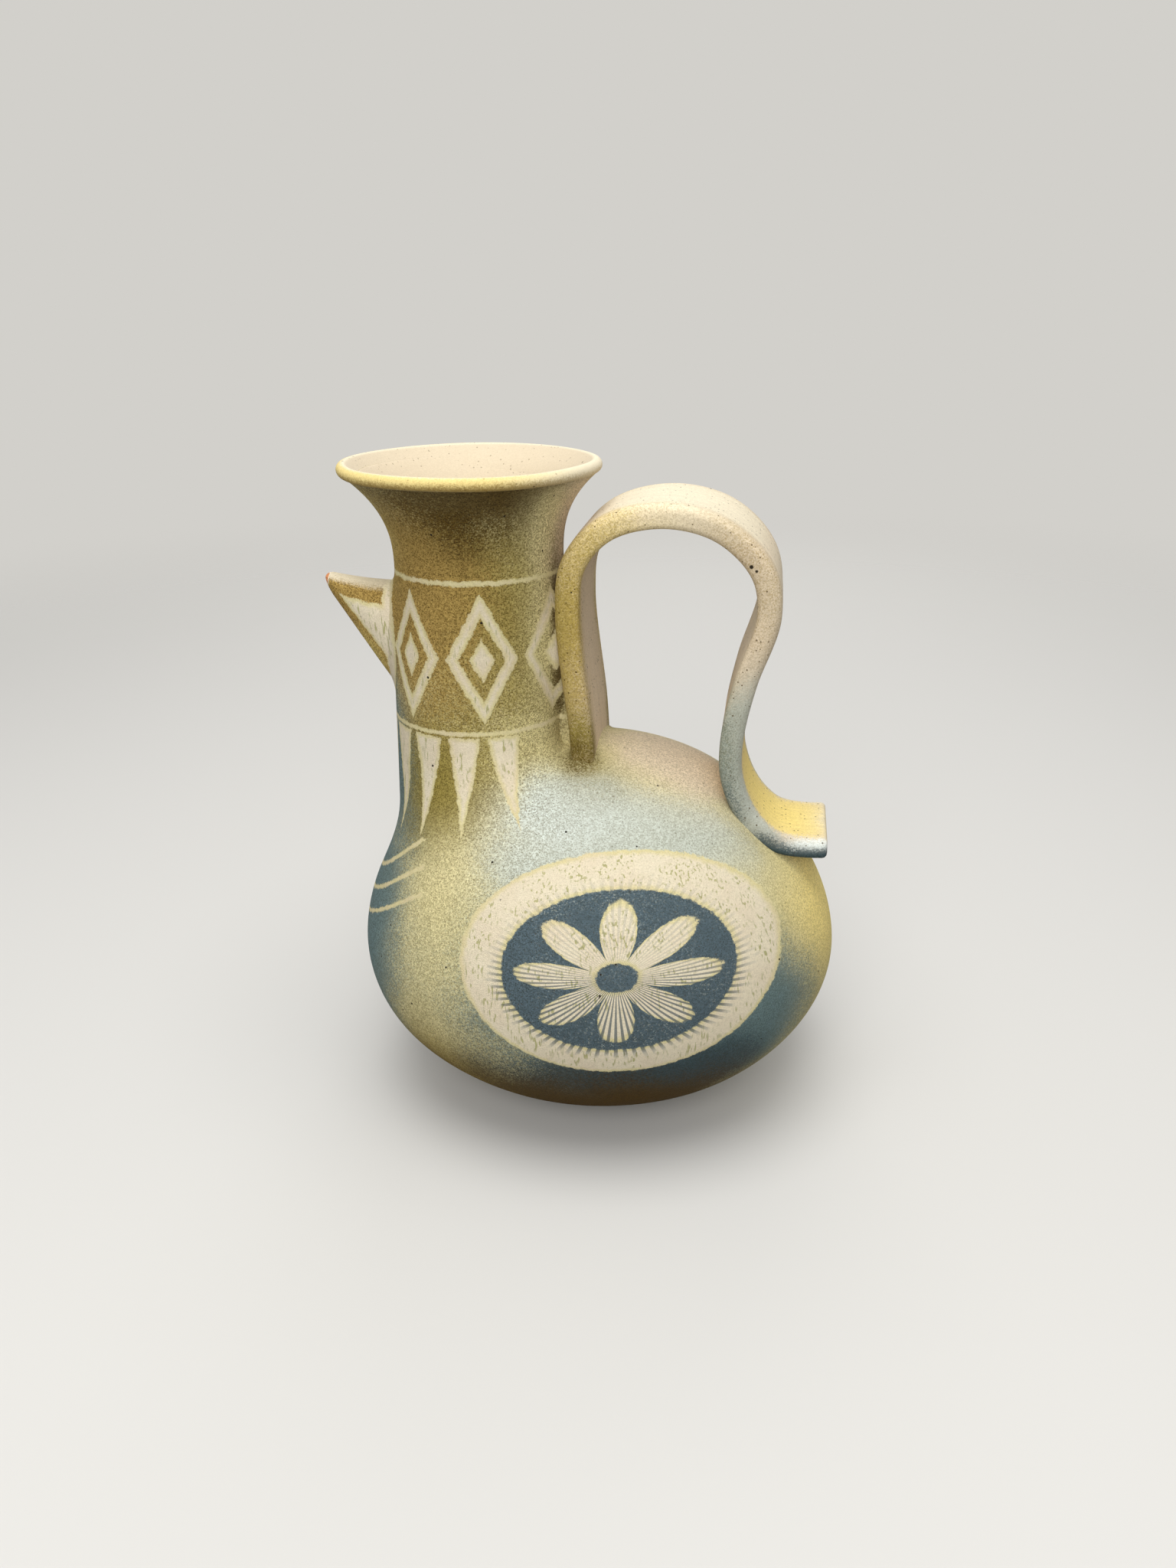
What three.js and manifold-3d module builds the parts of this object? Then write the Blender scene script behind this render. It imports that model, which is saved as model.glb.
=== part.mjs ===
// Pottery jug in the shape of a standing bird: a squat egg-shaped belly, a tall neck set towards the
// front with a flared mouth, a closed beak, and a flat strap handle whose free end lifts off as a tail.
// Millimetres, +Z up. The origin is the middle of the flat foot, on the surface that the jug stands on.
// The beak points to -X, the tail to +X, and both sides of the XZ plane are alike.
import * as THREE from "three";
import { mergeVertices, toCreasedNormals } from "three/addons/utils/BufferGeometryUtils.js";
import Module from "manifold-3d";

const wasm = await Module();
wasm.setup();

const lutingGap = 0.3; // room between two members that are luted together

// Belly
const bellyHalfLength = 91;
const bellyHalfDepth = 79;
const bellyWidestHeight = 60;
const bellyWall = 6;
const domeRise = 79; // from the widest line to the top of the dome
const domeFullness = 1.87; // 2 is an ellipse, more is squarer
const bowlFullness = 2.04;
const footHalfLength = 30;
const baseThickness = 6;
const seamCoilRadius = 4.5;

// Neck and mouth
const neckSetback = -42.9; // the neck's axis, along X
const neckRootRadius = 34;
const neckWaistRadius = 30;
const neckWall = 5;
const mouthWall = 3.4;
const jugHeight = 240;
const flareRise = 30.1; // from the straight neck to the flare's top under the rolled lip
const mouthRadius = 43.3; // outside of the wall under the rolled lip
const rimRadius = 43.5; // to the middle of the rolled lip
const rimCoilRadius = 2.3;
const flarePower = 2.6; // how late the mouth turns out
const neckBlendFront = { up: 26, out: 6 };
const neckBlendSide = { up: 20, out: 15 };
const neckBlendBack = { up: 4, out: 3.5 };
const blendEdge = 1.2; // thickness left at a blend's edge

// Beak
const beakLength = 25.4; // from the neck's face to the tip
const beakBelowRim = 43.4; // from the top of the jug to the top of the beak's root
const beakTopLift = 3.2; // how far the tip rises over the root
const beakRootTall = 40;
const beakRootWide = 25;
const beakTipSize = 5;
const beakShoulder = 0.25; // how much wider the beak is above its middle than below
const beakCollar = 2.6;
const beakCollarEdge = 0.8;
const beakCollarLength = 5;

// Handle strap
const strapThickness = 9;
const strapEndThickness = 7.4;
const strapWidth = 40;
const strapEndWidth = 31;
const strapEdgeRound = 3;
const archBelowRim = 14.4; // from the top of the jug to the arch's middle line
const loopSpan = 66; // from the front leg to the rear bend
const legStandoff = 1.3; // clay between the neck's back and the front leg
const seatDepth = 3.2; // how far the strap is pressed into the dome
const seatFrom = 0.6; // places of the seat, as shares of the belly's half length
const seatTo = 0.71;
const tailFromEnd = 5.5; // the tail's end, measured in from the belly's end
const tailBelowDome = 35.2; // the tail's end, measured down from the dome's top
const tailTipLength = 9; // the last stretch, which droops a little
const tailTipDroop = 1.2;
const footDepth = 11; // how far the strap's middle line starts under the dome's top
const footCollar = 4;
const footCollarHeight = 9;
const neckStripWidth = 20;
const neckStripReach = 6; // how far the strip reaches from the leg's face into the neck
const neckStripLow = 0.1; // places along the strap, from 0 at its foot to 1 at the tail's end
const neckStripHigh = 0.235;

// Fineness of the curved surfaces
const roundSteps = 52;
const curveSteps = 9;
const neckSteps = 40;
const strapSteps = 42;
const seamCoilSides = 8;
const rimCoilSides = 10;
const beakSides = 14;
const neckPointBias = 1.6; // crowds the neck's points towards the mouth

const flatten = bellyHalfDepth / bellyHalfLength;
const domeTop = bellyWidestHeight + domeRise;
const rimHeight = jugHeight - rimCoilRadius;
const flareTop = rimHeight - rimCoilRadius - lutingGap;
const neckWaistHeight = flareTop - flareRise;
const beakTopHeight = jugHeight - beakBelowRim;
const loopRise = jugHeight - archBelowRim - domeTop;
const footShare = Math.pow(1 - Math.pow(footHalfLength / bellyHalfLength, bowlFullness), 1 / bowlFullness);
const bowlDrop = bellyWidestHeight / footShare;

// A point of a rounded outline: turn 0 is its widest place and a quarter turn is its pole
function roundedPoint(halfLength, rise, fullness, turn) {
  return new THREE.Vector2(
    halfLength * Math.pow(Math.max(Math.cos(turn), 0), 2 / fullness),
    rise * Math.pow(Math.max(Math.sin(turn), 0), 2 / fullness),
  );
}

// Points from one turn to another, lifted to the widest line; a negative side hangs below it
function roundedCurve(inset, side, turnFrom, turnTo, steps) {
  const rise = (side > 0 ? domeRise : bowlDrop) - inset;
  const fullness = side > 0 ? domeFullness : bowlFullness;
  return Array.from({ length: steps + 1 }, (_, i) => {
    const turn = turnFrom + ((turnTo - turnFrom) * i) / steps;
    const point = roundedPoint(bellyHalfLength - inset, rise, fullness, turn);
    return new THREE.Vector2(point.x, bellyWidestHeight + side * point.y);
  });
}

// The turn at which the bowl's curve stands at a height
function bowlTurn(height, inset) {
  const share = (bellyWidestHeight - height) / (bowlDrop - inset);
  return Math.asin(Math.min(Math.pow(share, bowlFullness / 2), 1));
}

// Height of the dome's outside over a place, with the whole dome grown by some clearance
function domeHeight(x, y, grow = 0) {
  const across = Math.hypot(x / (bellyHalfLength + grow), y / ((bellyHalfLength + grow) * flatten));
  const left = 1 - Math.pow(Math.min(across, 1), domeFullness);
  return bellyWidestHeight + (domeRise + grow) * Math.pow(left, 1 / domeFullness);
}

// How far the mouth has turned out at a height: 0 on the straight neck and 1 under the lip
function flareShare(height) {
  const share = (height - neckWaistHeight) / (flareTop - neckWaistHeight);
  return Math.pow(Math.max(share, 0), flarePower);
}

function neckRadius(height) {
  const straight = Math.min((height - bellyWidestHeight) / (neckWaistHeight - bellyWidestHeight), 1);
  const waist = neckRootRadius + (neckWaistRadius - neckRootRadius) * straight;
  return waist + (mouthRadius - neckWaistRadius) * flareShare(height);
}

function boreRadius(height) {
  return neckRadius(height) - neckWall - (mouthWall - neckWall) * flareShare(height);
}

function toSolid(geometry) {
  const bare = geometry.clone();
  bare.deleteAttribute("normal");
  bare.deleteAttribute("uv");
  const merged = mergeVertices(bare, 1e-4);
  return new wasm.Manifold(
    new wasm.Mesh({
      numProp: 3,
      vertProperties: merged.attributes.position.array,
      triVerts: new Uint32Array(merged.index.array),
    }),
  );
}

function toGeometry(solid) {
  const made = solid.getMesh();
  const geometry = new THREE.BufferGeometry();
  geometry.setAttribute("position", new THREE.BufferAttribute(made.vertProperties, 3));
  geometry.setIndex(new THREE.BufferAttribute(made.triVerts, 1));
  return toCreasedNormals(geometry, Math.PI / 5);
}

// A profile of radius and height, turned round the Z axis; narrow squeezes it along Y
function turned(profile, steps = roundSteps, narrow = 1, x = 0) {
  const geometry = new THREE.LatheGeometry(profile, steps);
  geometry.rotateX(Math.PI / 2);
  geometry.scale(1, narrow, 1);
  geometry.translate(x, 0, 0);
  return toSolid(geometry);
}

// Volume inside closed faces, negative where they point inwards
function enclosedVolume(points, faces) {
  let volume = 0;
  for (let i = 0; i < faces.length; i += 3) {
    const [a, b, c] = faces.slice(i, i + 3).map((index) => points[index]);
    volume += a.dot(b.clone().cross(c)) / 6;
  }
  return volume;
}

// A skin over closed sections of equal point count, capped at both ends or joined into a ring
function lofted(sections, ring = false) {
  const count = sections[0].length;
  const positions = sections.flat().flatMap((p) => [p.x, p.y, p.z]);
  const faces = [];
  const spans = ring ? sections.length : sections.length - 1;
  for (let s = 0; s < spans; s++) {
    const here = s * count;
    const next = ((s + 1) % sections.length) * count;
    for (let i = 0; i < count; i++) {
      const j = (i + 1) % count;
      faces.push(here + i, here + j, next + j, here + i, next + j, next + i);
    }
  }
  if (!ring) {
    const last = (sections.length - 1) * count;
    for (let i = 1; i < count - 1; i++) {
      faces.push(0, i + 1, i, last, last + i, last + i + 1);
    }
  }
  const geometry = new THREE.BufferGeometry();
  geometry.setAttribute("position", new THREE.Float32BufferAttribute(positions, 3));
  geometry.setIndex(enclosedVolume(sections.flat(), faces) < 0 ? faces.reverse() : faces);
  return toSolid(geometry);
}

// The whole belly without its hollow, grown by some clearance
function bellyBlock(grow) {
  const quarter = Math.PI / 2;
  const bowl = roundedCurve(-grow, -1, quarter, 0, curveSteps);
  const dome = roundedCurve(-grow, 1, 0, quarter, curveSteps);
  return turned([...bowl, ...dome.slice(1)], roundSteps, flatten);
}

// A round core on the neck's axis, from the belly's widest line up to some height
function neckCore(high, radiusAt) {
  const low = bellyWidestHeight;
  const profile = [new THREE.Vector2(0, low)];
  const steps = 2 * curveSteps;
  for (let i = 0; i <= steps; i++) {
    const share = 1 - Math.pow(1 - i / steps, neckPointBias);
    const height = low + (high - low) * share;
    profile.push(new THREE.Vector2(radiusAt(height), height));
  }
  profile.push(new THREE.Vector2(0, high));
  return turned(profile, neckSteps, 1, neckSetback);
}

function neckBlock(grow) {
  return neckCore(flareTop, (height) => neckRadius(height) + grow);
}

function neckBore() {
  return neckCore(jugHeight + lutingGap, boreRadius);
}

// A closed round profile, for a coil of clay at a distance from the axis
function coilProfile(middle, height, radius, sides) {
  return Array.from({ length: sides + 1 }, (_, i) => {
    const turn = (2 * Math.PI * (i % sides)) / sides;
    return new THREE.Vector2(middle + radius * Math.cos(turn), height + radius * Math.sin(turn));
  });
}

// Belly members
function makeBaseDisc() {
  const wall = roundedCurve(0, -1, bowlTurn(0, 0), bowlTurn(baseThickness, 0), 4);
  const profile = [new THREE.Vector2(0, 0), ...wall, new THREE.Vector2(0, baseThickness)];
  return turned(profile, roundSteps, flatten);
}

function makeBellyLower() {
  const bottom = baseThickness + lutingGap;
  const outside = roundedCurve(0, -1, bowlTurn(bottom, 0), 0, curveSteps);
  const inside = roundedCurve(bellyWall, -1, 0, bowlTurn(bottom, bellyWall), curveSteps);
  const profile = [...outside, ...inside];
  return turned([...profile, profile[0].clone()], roundSteps, flatten);
}

function makeBellyUpper() {
  const quarter = Math.PI / 2;
  const outside = roundedCurve(0, 1, 0, quarter, curveSteps);
  const inside = roundedCurve(bellyWall, 1, quarter, 0, curveSteps);
  for (const point of [outside[0], inside[curveSteps]]) {
    point.y += lutingGap;
  }
  return turned([...outside, ...inside, outside[0].clone()], roundSteps, flatten)
    .subtract(neckBore())
    .subtract(strap(lutingGap).subtract(bellyBlock(-seatDepth)));
}

function makeSeamCoil() {
  const quarter = Math.PI / 2;
  const inset = bellyWall + lutingGap;
  const bowl = roundedCurve(inset, -1, quarter, 0, curveSteps);
  const dome = roundedCurve(inset, 1, 0, quarter, curveSteps);
  const hollow = turned([...bowl, ...dome.slice(1)], roundSteps, flatten);
  const middle = bellyHalfLength - bellyWall;
  const coil = coilProfile(middle, bellyWidestHeight, seamCoilRadius, seamCoilSides);
  return turned(coil, roundSteps, flatten).intersect(hollow);
}

// Neck members
function makeNeckTube() {
  return neckBlock(0).subtract(neckBore()).subtract(bellyBlock(lutingGap));
}

function makeRimCoil() {
  const coil = coilProfile(rimRadius, rimHeight, rimCoilRadius, rimCoilSides);
  return turned(coil, neckSteps, 1, neckSetback);
}

// Size of the neck's blend in one direction, from the front round by the side to the back
function neckBlend(turn) {
  const side = Math.pow(Math.sin(turn), 2);
  const end = Math.cos(turn) < 0 ? neckBlendFront : neckBlendBack;
  return {
    up: end.up + (neckBlendSide.up - end.up) * side,
    out: end.out + (neckBlendSide.out - end.out) * side,
  };
}

// The blend before the neck, the dome and the strap are cut out of it, grown by some clearance
function neckLutingBlock(grow) {
  const sections = [];
  const sunk = 2; // how far a section reaches into the neck and the dome
  const arcSteps = 5;
  const skin = blendEdge + grow;
  for (let s = 0; s < neckSteps; s++) {
    const turn = (2 * Math.PI * s) / neckSteps;
    const across = new THREE.Vector2(Math.cos(turn), Math.sin(turn));
    const dome = (radius) => domeHeight(neckSetback + radius * across.x, radius * across.y);
    const at = (radius, height) =>
      new THREE.Vector3(neckSetback + radius * across.x, radius * across.y, height);
    const joint = dome(neckRootRadius);
    const blend = neckBlend(turn);
    const top = joint + blend.up + grow;
    const wall = neckRadius(joint);
    const edge = wall + blend.out + grow;
    const section = [at(wall - sunk, top), at(neckRadius(top) + skin, top)];
    for (let i = 1; i <= arcSteps; i++) {
      const share = i / (arcSteps + 1);
      const radius = wall + skin + (edge - wall - skin) * Math.pow(share, 2);
      section.push(at(radius, dome(radius) + skin + (top - joint) * Math.pow(1 - share, 2)));
    }
    section.push(at(edge, dome(edge) + skin), at(edge, dome(edge) - sunk));
    section.push(at(wall - sunk, dome(wall - sunk) - sunk));
    sections.push(section);
  }
  return lofted(sections, true);
}

function makeNeckLuting() {
  return neckLutingBlock(0)
    .subtract(neckBlock(lutingGap))
    .subtract(bellyBlock(lutingGap))
    .subtract(strap(lutingGap));
}

// Beak members. A section is an upright oval across the beak, fuller above its middle, at a distance
// from the neck's axis; growAt gives its clearance by the place between the root, 0, and the tip, 1
function beakSections(growAt, reachFrom, reachTo, stations) {
  const face = neckRadius(beakTopHeight);
  return Array.from({ length: stations + 1 }, (_, s) => {
    const reach = reachFrom + ((reachTo - reachFrom) * s) / stations;
    const along = (reach - face) / beakLength;
    const more = growAt(along);
    const top = beakTopHeight + beakTopLift * Math.pow(Math.max(along, 0), 2) + more;
    const tall = beakRootTall + (beakTipSize - beakRootTall) * along + 2 * more;
    const wide = beakRootWide + (beakTipSize - beakRootWide) * along + 2 * more;
    return Array.from({ length: beakSides }, (__, i) => {
      const turn = (2 * Math.PI * i) / beakSides;
      const up = Math.sin(turn);
      return new THREE.Vector3(
        neckSetback - reach,
        (wide / 2) * Math.cos(turn) * (1 + beakShoulder * up),
        top - tall / 2 + (tall / 2) * up,
      );
    });
  });
}

function beakBlock(grow) {
  const face = neckRadius(beakTopHeight);
  return lofted(beakSections(() => grow, face - beakRootWide / 2, face + beakLength, 6));
}

function makeBeak() {
  return beakBlock(0).subtract(neckBlock(lutingGap));
}

function makeBeakLuting() {
  const face = neckRadius(beakTopHeight);
  const flare = (along) => {
    const near = 1 - Math.max(along * beakLength, 0) / beakCollarLength;
    return beakCollarEdge + (beakCollar - beakCollarEdge) * Math.pow(near, 2);
  };
  return lofted(beakSections(flare, face - beakRootWide / 2, face + beakCollarLength, 8))
    .subtract(neckBlock(lutingGap))
    .subtract(beakBlock(lutingGap));
}

// Handle members. The strap's middle line runs from the dome's top up the neck, over and down to the tail
function strapLine() {
  const legX = neckSetback + neckRadius(neckWaistHeight) + legStandoff + strapThickness / 2;
  const loop = [
    [0.06, -footDepth / loopRise],
    [0.055, 0.12],
    [0, 0.6],
    [0.03, 0.8],
    [0.2, 0.945],
    [0.5, 1],
    [0.8, 0.945],
    [1.02, 0.785],
    [1.05, 0.6],
    [0.93, 0.32],
    [0.865, 0.07],
  ].map(([across, up]) => new THREE.Vector3(legX + across * loopSpan, 0, domeTop + up * loopRise));
  const seat = [seatFrom, seatTo].map((share) => {
    const x = share * bellyHalfLength;
    const step = 0.5;
    const slope = (domeHeight(x + step, 0) - domeHeight(x - step, 0)) / (2 * step);
    const lift = new THREE.Vector3(-slope, 0, 1).setLength(strapThickness / 2 - seatDepth);
    return new THREE.Vector3(x, 0, domeHeight(x, 0)).add(lift);
  });
  const end = new THREE.Vector3(bellyHalfLength - tailFromEnd, 0, domeTop - tailBelowDome);
  const bend = end.clone().add(new THREE.Vector3(-tailTipLength, 0, tailTipDroop));
  return new THREE.CatmullRomCurve3([...loop, ...seat, bend, end], false, "centripetal");
}

// Sections of the strap between two places along it, each an upright rounded bar grown by some clearance
function strapSections(line, grow, from, to, steps, halfWidth, inner, outer) {
  return Array.from({ length: steps + 1 }, (_, s) => {
    const place = from + ((to - from) * s) / steps;
    const middle = line.getPointAt(place);
    const tangent = line.getTangentAt(place);
    const normal = new THREE.Vector3(-tangent.z, 0, tangent.x);
    const half = halfWidth(place) + grow;
    const low = -outer(place) - grow;
    const high = inner(place) + grow;
    const round = Math.min(strapEdgeRound, (high - low) / 2 - lutingGap, half / 2);
    const points = [];
    const corners = [
      [half - round, high - round, 0],
      [-half + round, high - round, 1],
      [-half + round, low + round, 2],
      [half - round, low + round, 3],
    ];
    for (const [y, lift, quarter] of corners) {
      for (const part of [0, 0.5, 1]) {
        const turn = ((quarter + part) * Math.PI) / 2;
        const point = middle.clone().addScaledVector(normal, lift + round * Math.sin(turn));
        point.y = y + round * Math.cos(turn);
        points.push(point);
      }
    }
    return points;
  });
}

// The strap before its feet are cut to the belly, grown by some clearance; it tapers past the arch
function strap(grow) {
  const taper = (start, end, place) => start + (end - start) * Math.pow(place, 3);
  const thick = (place) => taper(strapThickness, strapEndThickness, place) / 2;
  const wide = (place) => taper(strapWidth, strapEndWidth, place) / 2;
  return lofted(strapSections(strapLine(), grow, 0, 1, strapSteps, wide, thick, thick));
}

function makeStrap() {
  return strap(0).subtract(bellyBlock(lutingGap - seatDepth));
}

// The clay worked round the foot of the front leg: a collar that follows the strap and flares onto the dome
function makeFootLuting() {
  const line = strapLine();
  const domeShare = footDepth / line.getLength();
  const from = domeShare / 3;
  const to = domeShare + footCollarHeight / line.getLength();
  const flare = (place) => {
    const near = 1 - Math.max(place - domeShare, 0) / (to - domeShare);
    return blendEdge + (footCollar - blendEdge) * Math.pow(near, 2);
  };
  const wide = (place) => strapWidth / 2 + flare(place);
  const thick = (place) => strapThickness / 2 + flare(place);
  return lofted(strapSections(line, 0, from, to, 6, wide, thick, thick))
    .subtract(strap(lutingGap))
    .subtract(bellyBlock(lutingGap))
    .subtract(neckBlock(lutingGap))
    .subtract(neckLutingBlock(lutingGap));
}

// The strip between the neck's back and the front leg, from the strap's middle line out into the neck
function makeNeckStrip() {
  const half = () => neckStripWidth / 2;
  const reach = () => strapThickness / 2 + neckStripReach;
  const strip = strapSections(strapLine(), 0, neckStripLow, neckStripHigh, 8, half, reach, () => 0);
  return lofted(strip).subtract(strap(lutingGap)).subtract(neckBlock(lutingGap));
}

function addMember(jug, name, solid, material) {
  const mesh = new THREE.Mesh(toGeometry(solid), material);
  mesh.name = name;
  jug.add(mesh);
}

const glaze = (color) => new THREE.MeshStandardMaterial({ color, roughness: 0.85, metalness: 0 });

const jug = new THREE.Group();
addMember(jug, "base_disc", makeBaseDisc(), glaze(0x8a7a45));
addMember(jug, "belly_lower", makeBellyLower(), glaze(0x8a8455));
addMember(jug, "belly_upper", makeBellyUpper(), glaze(0x8fa0a4));
addMember(jug, "belly_seam_coil", makeSeamCoil(), glaze(0xd8c9ac));
addMember(jug, "neck_tube", makeNeckTube(), glaze(0x8c7a42));
addMember(jug, "rim_coil", makeRimCoil(), glaze(0xd9cc94));
addMember(jug, "neck_luting_coil", makeNeckLuting(), glaze(0x8f8a5a));
addMember(jug, "beak", makeBeak(), glaze(0xb59a55));
addMember(jug, "beak_luting_coil", makeBeakLuting(), glaze(0xd8cfae));
addMember(jug, "handle_strap", makeStrap(), glaze(0xcfc3a0));
addMember(jug, "handle_root_luting", makeFootLuting(), glaze(0x6f6a3c));
addMember(jug, "handle_neck_luting", makeNeckStrip(), glaze(0x6f6a3c));

export default jug;
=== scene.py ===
"""Pottery jug in the shape of a standing bird, with a sprayed matt glaze and resist ornament."""

import math
from functools import partial, partialmethod

import bmesh
import bpy
import numpy as np
from bpy.props import FloatProperty, FloatVectorProperty, IntProperty, PointerProperty
from mathutils import Matrix, Vector, noise


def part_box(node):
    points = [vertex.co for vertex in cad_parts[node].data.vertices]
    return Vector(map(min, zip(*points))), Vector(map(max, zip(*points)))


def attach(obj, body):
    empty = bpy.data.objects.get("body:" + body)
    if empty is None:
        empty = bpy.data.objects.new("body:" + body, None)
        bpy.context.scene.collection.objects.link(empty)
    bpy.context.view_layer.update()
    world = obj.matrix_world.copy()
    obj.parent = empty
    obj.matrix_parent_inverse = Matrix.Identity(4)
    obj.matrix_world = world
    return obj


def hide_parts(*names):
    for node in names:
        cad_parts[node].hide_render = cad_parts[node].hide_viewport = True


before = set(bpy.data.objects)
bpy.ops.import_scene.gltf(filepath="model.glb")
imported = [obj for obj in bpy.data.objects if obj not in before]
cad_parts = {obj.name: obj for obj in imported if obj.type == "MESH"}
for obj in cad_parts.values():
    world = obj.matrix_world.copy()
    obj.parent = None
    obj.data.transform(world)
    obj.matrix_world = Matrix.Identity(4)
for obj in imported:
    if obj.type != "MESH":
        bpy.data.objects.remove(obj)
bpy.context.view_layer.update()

bl_info = {
    "name": "Pottery jug",
    "version": (1, 0, 0),
    "blender": (4, 5, 0),
    "location": "View3D > Sidebar > Jug",
    "description": "Builds a hand-built stoneware jug around its frame",
    "category": "Object",
}

MM = 0.001
UP = Vector((0, 0, 1))
FLOOR_RADIUS = 1.4
HAND_SEED = 5  # without a seed, every run would draw its own unevenness

BELLY_LOW, BELLY_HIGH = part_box("belly_upper")
COIL_LOW, COIL_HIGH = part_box("belly_seam_coil")
RIM_LOW, RIM_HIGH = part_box("rim_coil")
STRAP_LOW, STRAP_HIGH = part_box("handle_strap")
BEAK_LOW, BEAK_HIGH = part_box("beak")
RIM_OUT = (RIM_HIGH.x - RIM_LOW.x) / 2 / MM
RIM_MIDDLE = (RIM_HIGH.z + RIM_LOW.z) / 2 / MM
BEAK_TOP = BEAK_HIGH.z - 3.2 * MM  # where the beak leaves the neck
BEAK_CURVE = 1.7  # how late the beak's top rises
IRON_SPOTS = (((54.6, -21.4, 208.2), 0.75), ((56.4, -21.4, 206.8), 0.55))  # place and radius
SOFT_GLAZES = ("pale", "mist", "pink", "cream", "yellow", "buff")
FOOT_CLOUDS = (
    ("olive", (-3, 20, 142), (13, 12, 20), 0.6),
    ("umber", (-4, 20, 139), (10, 10, 13), 0.5),
)  # sprayed round the foot of the strap's front leg, on the dome and on the strap alike


def srgb(code):
    """A colour written as on a paint chart, turned into the linear values that the shaders use."""
    parts = [int(code[i : i + 2], 16) / 255 for i in (0, 2, 4)]
    return tuple(p / 12.92 if p <= 0.04045 else ((p + 0.055) / 1.055) ** 2.4 for p in parts)


def setting(description, default, **kind):
    return FloatProperty(description=description, default=default, **kind)


length = partial(setting, min=0, unit="LENGTH")
place = partial(setting, unit="LENGTH")
share = partial(setting, min=0, subtype="FACTOR")
power = partial(setting, min=0, unit="POWER")


def angle(description, degrees):
    return setting(description, math.radians(degrees), subtype="ANGLE")


def colour(description, code):
    return FloatVectorProperty(description=description, default=srgb(code), min=0, max=1, subtype="COLOR")


def named(group):
    """Names each setting of a property group after its key."""
    for key, setting in group.__annotations__.items():
        setting.keywords["name"] = key.replace("_", " ").capitalize()
    return group


@named
class JugBody(bpy.types.PropertyGroup):
    """Sizes of the belly, the neck and the mouth"""

    half_length: length("Half the belly, from beak to tail", (BELLY_HIGH.x - BELLY_LOW.x) / 2)
    half_depth: length("Half the belly, from flank to flank", (BELLY_HIGH.y - BELLY_LOW.y) / 2)
    widest: place("Height of the belly's widest line", (COIL_LOW.z + COIL_HIGH.z) / 2)
    dome_rise: length("From the widest line to the dome's top", 79 * MM)
    bowl_drop: length("From the widest line to the egg's lowest point, under the foot", 63.3 * MM)
    dome_fullness: share("2 is an ellipse, more is squarer", 1.87)
    bowl_fullness: share("2 is an ellipse, more is squarer", 2.04)
    wall: length("Thickness of the belly's clay", 6 * MM)
    base: length("Thickness of the foot's clay", 6 * MM)
    neck_x: place("Place of the neck's axis along the jug", (RIM_LOW.x + RIM_HIGH.x) / 2)
    root_radius: length("Neck's radius at the belly's widest line", 34 * MM)
    waist_radius: length("Neck's radius where the flare starts", 30 * MM)
    waist_height: place("Height at which the flare starts", 205 * MM)
    mouth_radius: length("Outside radius under the rolled lip", 43.3 * MM)
    mouth_height: place("Height at which the wall has the mouth's radius", 235.1 * MM)
    flare_power: share("How late the mouth turns out", 2.6)
    neck_wall: length("Thickness of the neck's clay", 5 * MM)
    mouth_wall: length("Thickness of the clay at the mouth, measured level", 6 * MM)
    sway: length("How far the neck's waist leans back from its axis", 1.6 * MM)
    blend_front: length("Softness of the joint under the beak", 8 * MM)
    blend_side: length("Softness of the joint on the flanks", 26 * MM)
    blend_back: length("Softness of the joint behind the neck", 5 * MM)
    cell: length("Mesh size of the clay skin", 1.6 * MM)


@named
class JugHandle(bpy.types.PropertyGroup):
    """Sizes of the strap handle"""

    thickness: length("Thickness of the strap", 8.6 * MM)
    end_thickness: length("Thickness at the tail's end", 7.4 * MM)
    width: length("Width of the strap", STRAP_HIGH.y - STRAP_LOW.y + 3 * MM)
    end_width: length("Width at the tail's end", 38 * MM)
    corner: length("Rounding of the strap's long edges", 3.7 * MM)
    span: length("From the front leg to the rear bend", 66 * MM)
    foot_depth: length("How deep the front leg is set in the dome", 5.4 * MM)
    root_blend: length("Softness of the joint at the front leg's foot", 5 * MM)
    yaw: share("How far the far edge stands nearer to the tail, as a share of the width", 0.03)
    roll: share("How far the far edge stands higher on the arch, as a share of the width", 0.028)
    press: length("How far the dome is pressed in beside the tail's seat", 2.8 * MM)


@named
class JugBeak(bpy.types.PropertyGroup):
    """Sizes of the beak"""

    root_tall: length("Height of the beak where it meets the neck", 40 * MM)
    root_wide: length("Width of the beak where it meets the neck", 23 * MM)
    tip: length("Thickness of the tip", 5 * MM)
    lift: length("How far the tip rises over the root", 3.4 * MM)
    shoulder: share("How much wider the beak is above its middle", 0.3)
    collar: length("Softness of the joint with the neck", 5 * MM)


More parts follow.
